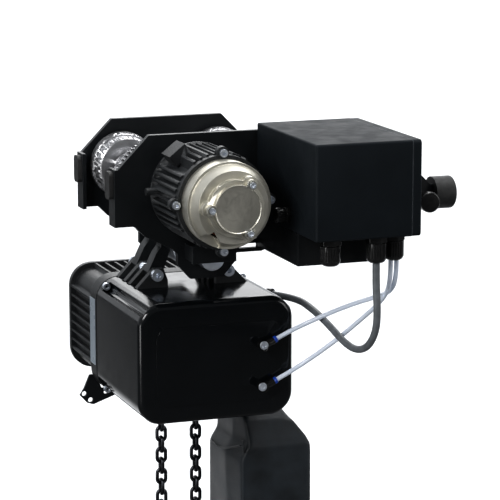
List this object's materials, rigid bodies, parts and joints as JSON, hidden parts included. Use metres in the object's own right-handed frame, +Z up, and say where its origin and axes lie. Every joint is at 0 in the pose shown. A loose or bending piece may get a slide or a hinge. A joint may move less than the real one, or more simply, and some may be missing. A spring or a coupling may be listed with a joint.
{
  "type": "chain hoist",
  "caption": "Electric chain hoist with two chain falls, hook block and chain bag, under a powered beam trolley with a travel motor and control box.",
  "frame": {"origin": "centre of the beam's lower flange, on the upper face that the wheels roll on, above the suspension shaft's middle", "axes": "+X along the beam towards the control box, +Y away from the drive side, +Z up"},
  "size_m": [0.483, 0.505, 0.7365],
  "materials": {
    "black_enamel": "satin black paint",
    "gloss_cover": "gloss black",
    "cast_black": "textured black casting",
    "box_paint": "satin blue-black powder coat",
    "cast_aluminium": "bare cast, warm silver",
    "zinc": "bright zinc plate",
    "steel": "machined steel",
    "black_chain": "phosphated chain steel",
    "rubber": "black rubber",
    "black_plastic": "moulded black plastic",
    "bag": "black bag with a grey sheen",
    "copper_winding": "varnished winding and laminations",
    "grey_cable": "mid grey cable sheath",
    "clear_tube": "translucent bluish tube",
    "blue_collar": "blue release collar",
    "cream_plastic": "light grey device casing",
    "hook_paint": "dull red forged hook"
  },
  "bodies": {
    "trolley": {"front_side_plate": "black_enamel", "rear_side_plate": "black_enamel", "wheel_axles": "steel", "suspension_shaft": "zinc", "shaft_keepers": "black_enamel", "shaft_spacers": "zinc", "buffers": "rubber", "arm_end_socket": "black_plastic", "travel_gearcase": "cast_black", "travel_bearings": "steel", "travel_motor_housing": "cast_black", "travel_stator": "copper_winding", "travel_end_shield": "cast_black", "travel_brake_housing": "cast_aluminium", "travel_brake_cap": "cast_aluminium", "travel_brake_magnet": "copper_winding", "travel_motor_screws": "zinc", "control_box": "box_paint", "control_box_lid": "box_paint", "box_carrier": "black_enamel", "box_glands": "black_plastic", "control_devices": "cream_plastic"},
    "travel_rotor_body": {"travel_rotor": "steel", "travel_brake_disc": "steel"},
    "travel_output_body": {"travel_output_shaft": "steel"},
    "wheel_fl": {"drive_wheel_left": "steel"},
    "wheel_fr": {"drive_wheel_right": "steel"},
    "wheel_rl": {"idler_wheel_left": "steel"},
    "wheel_rr": {"idler_wheel_right": "steel"},
    "hoist": {"suspension_sleeve": "zinc", "stirrups": "black_enamel", "hoist_housing": "cast_black", "front_cover": "gloss_cover", "hoist_fasteners": "zinc", "rear_cover": "cast_black", "lug_bracket": "black_enamel", "hoist_stator": "copper_winding", "gearbox_cover": "cast_aluminium", "hoist_bearings": "steel", "slack_chain": "black_chain", "chain_guide": "black_plastic", "chain_anchor": "steel", "chain_bag": "bag", "bag_hanger": "black_enamel", "shoulder_gland": "black_plastic", "tube_fittings": "black_plastic", "tube_collars": "blue_collar", "motor_cable": "grey_cable", "upper_tube": "clear_tube", "lower_tube": "clear_tube"},
    "hoist_rotor_body": {"hoist_rotor": "steel"},
    "intermediate_body": {"intermediate_shaft": "steel"},
    "load_wheel_body": {"load_wheel": "steel", "final_gear": "steel"},
    "block": {"block_shells": "cast_black", "sheave_axle": "zinc", "load_chain": "black_chain"},
    "sheave_body": {"sheave": "steel"},
    "hook_body": {"hook": "hook_paint"},
    "latch_body": {"safety_latch": "zinc"}
  },
  "joints": [
    {"name": "travel_motor_spin", "type": "hinge", "parent": "trolley", "child": "travel_rotor_body", "pos_m": [-0.022, 0, 0.0304], "axis": [0, 1, 0], "continuous": true},
    {"name": "travel_output_spin", "type": "hinge", "parent": "trolley", "child": "travel_output_body", "pos_m": [0, 0, 0.04], "axis": [0, 1, 0], "continuous": true},
    {"name": "wheel_front_left_spin", "type": "hinge", "parent": "trolley", "child": "wheel_fl", "pos_m": [-0.068, 0, 0.04], "axis": [0, 1, 0], "continuous": true},
    {"name": "wheel_front_right_spin", "type": "hinge", "parent": "trolley", "child": "wheel_fr", "pos_m": [0.068, 0, 0.04], "axis": [0, 1, 0], "continuous": true},
    {"name": "wheel_rear_left_spin", "type": "hinge", "parent": "trolley", "child": "wheel_rl", "pos_m": [-0.068, 0, 0.04], "axis": [0, 1, 0], "continuous": true},
    {"name": "wheel_rear_right_spin", "type": "hinge", "parent": "trolley", "child": "wheel_rr", "pos_m": [0.068, 0, 0.04], "axis": [0, 1, 0], "continuous": true},
    {"name": "suspension_swing", "type": "hinge", "parent": "trolley", "child": "hoist", "pos_m": [0, 0, -0.062], "axis": [0, 1, 0], "range_deg": [-8, 8], "deforming": ["motor_cable", "upper_tube", "lower_tube"]},
    {"name": "hoist_motor_spin", "type": "hinge", "parent": "hoist", "child": "hoist_rotor_body", "pos_m": [0, 0, -0.186], "axis": [0, 1, 0], "range_deg": [0, 9147], "deforming": ["slack_chain"]},
    {"name": "intermediate_spin", "type": "hinge", "parent": "hoist", "child": "intermediate_body", "pos_m": [0.00708, 0, -0.22537], "axis": [0, 1, 0], "range_deg": [-2115.8, 5]},
    {"name": "load_wheel_spin", "type": "hinge", "parent": "hoist", "child": "load_wheel_body", "pos_m": [0.049, 0, -0.2], "axis": [0, 1, 0], "range_deg": [-5, 580.7]},
    {"name": "hook_lift", "type": "slide", "parent": "hoist", "child": "block", "axis": [0, 0, 1], "range_m": [0, 0.12], "deforming": ["load_chain"]},
    {"name": "sheave_spin", "type": "hinge", "parent": "block", "child": "sheave_body", "pos_m": [0, 0.036, -0.474], "axis": [0, 1, 0], "range_deg": [-283, 5]},
    {"name": "hook_swivel", "type": "hinge", "parent": "block", "child": "hook_body", "pos_m": [0, 0.036, -0.515], "axis": [0, 0, 1], "continuous": true},
    {"name": "latch_swing", "type": "hinge", "parent": "hook_body", "child": "latch_body", "pos_m": [0.01, 0.036, -0.559], "axis": [0, 1, 0], "range_deg": [-30, 0], "stiffness_Nm_per_rad": 0.03, "springref_deg": 17.19}
  ],
  "couplings": [
    {"joint": "travel_output_spin", "follows": "travel_motor_spin", "ratio": -0.23077},
    {"joint": "wheel_front_left_spin", "follows": "travel_motor_spin", "ratio": 0.10311},
    {"joint": "wheel_front_right_spin", "follows": "travel_motor_spin", "ratio": 0.10311},
    {"joint": "wheel_rear_left_spin", "follows": "travel_motor_spin", "ratio": 0.10311},
    {"joint": "wheel_rear_right_spin", "follows": "travel_motor_spin", "ratio": 0.10311},
    {"joint": "intermediate_spin", "follows": "hoist_motor_spin", "ratio": -0.23077},
    {"joint": "load_wheel_spin", "follows": "hoist_motor_spin", "ratio": 0.062937},
    {"joint": "hook_lift", "follows": "hoist_motor_spin", "m_per_rad": 0.00075126},
    {"joint": "sheave_spin", "follows": "hoist_motor_spin", "ratio": -0.030378}
  ]
}
